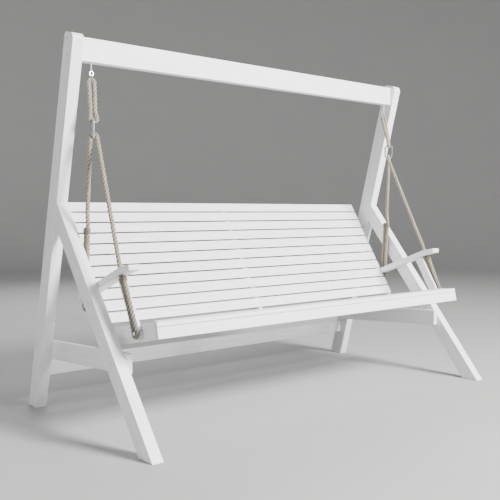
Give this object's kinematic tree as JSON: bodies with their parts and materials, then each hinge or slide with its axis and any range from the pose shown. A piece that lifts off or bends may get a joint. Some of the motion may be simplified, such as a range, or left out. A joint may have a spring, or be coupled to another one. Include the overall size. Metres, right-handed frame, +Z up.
{
  "type": "porch swing seat",
  "caption": "Free-standing wooden garden swing: leaning side frames and a top beam carry a slatted bench with armrests on twisted ropes.",
  "frame": {"origin": "on the ground, under the centre of the object's box", "axes": "+X to the sitter's left, which is the right-hand side seen from the front; +Y to the back; +Z up"},
  "size_m": [2.302, 1.195, 1.8196],
  "materials": {
    "white_wood": "white painted softwood, satin",
    "slat_wood": "white painted slats, satin, slightly warm",
    "rope": "three-strand laid natural-fibre rope",
    "twine": "waxed twine whipping",
    "steel": "bright zinc plate"
  },
  "bodies": {
    "frame": {"left_rear_post": "white_wood", "left_front_leg": "white_wood", "left_brace": "white_wood", "left_screw_eye": "steel", "right_rear_post": "white_wood", "right_front_leg": "white_wood", "right_brace": "white_wood", "right_screw_eye": "steel", "top_beam": "white_wood", "rear_stretcher": "white_wood"},
    "seat": {"left_link": "steel", "left_upper_rope": "rope", "left_rope_ring": "steel", "left_rope": "rope", "left_front_seizing": "twine", "left_rear_seizing": "twine", "left_front_rope_bolt": "steel", "left_rear_rope_bolt": "steel", "left_side_board": "white_wood", "left_back_upright": "white_wood", "left_armrest_post": "white_wood", "left_armrest": "white_wood", "left_seat_cleat": "white_wood", "right_link": "steel", "right_upper_rope": "rope", "right_rope_ring": "steel", "right_rope": "rope", "right_front_seizing": "twine", "right_rear_seizing": "twine", "right_front_rope_bolt": "steel", "right_rear_rope_bolt": "steel", "right_side_board": "white_wood", "right_back_upright": "white_wood", "right_armrest_post": "white_wood", "right_armrest": "white_wood", "right_seat_cleat": "white_wood", "front_rail": "white_wood", "nosing_slat": "slat_wood", "rear_rail": "white_wood", "middle_upright": "white_wood", "middle_bearer": "white_wood", "back_slat_1": "slat_wood", "back_slat_2": "slat_wood", "back_slat_3": "slat_wood", "back_slat_4": "slat_wood", "back_slat_5": "slat_wood", "back_slat_6": "slat_wood", "back_slat_7": "slat_wood", "back_slat_8": "slat_wood", "back_slat_9": "slat_wood", "back_slat_10": "slat_wood", "back_slat_11": "slat_wood", "seat_slat_1": "slat_wood", "seat_slat_2": "slat_wood", "seat_slat_3": "slat_wood", "seat_slat_4": "slat_wood", "seat_slat_5": "slat_wood", "seat_slat_6": "slat_wood"}
  },
  "joints": [
    {"name": "swing", "type": "hinge", "parent": "frame", "child": "seat", "pos_m": [0, 0.085, 1.628], "axis": [1, 0, 0], "range_deg": [-20, 20]}
  ]
}
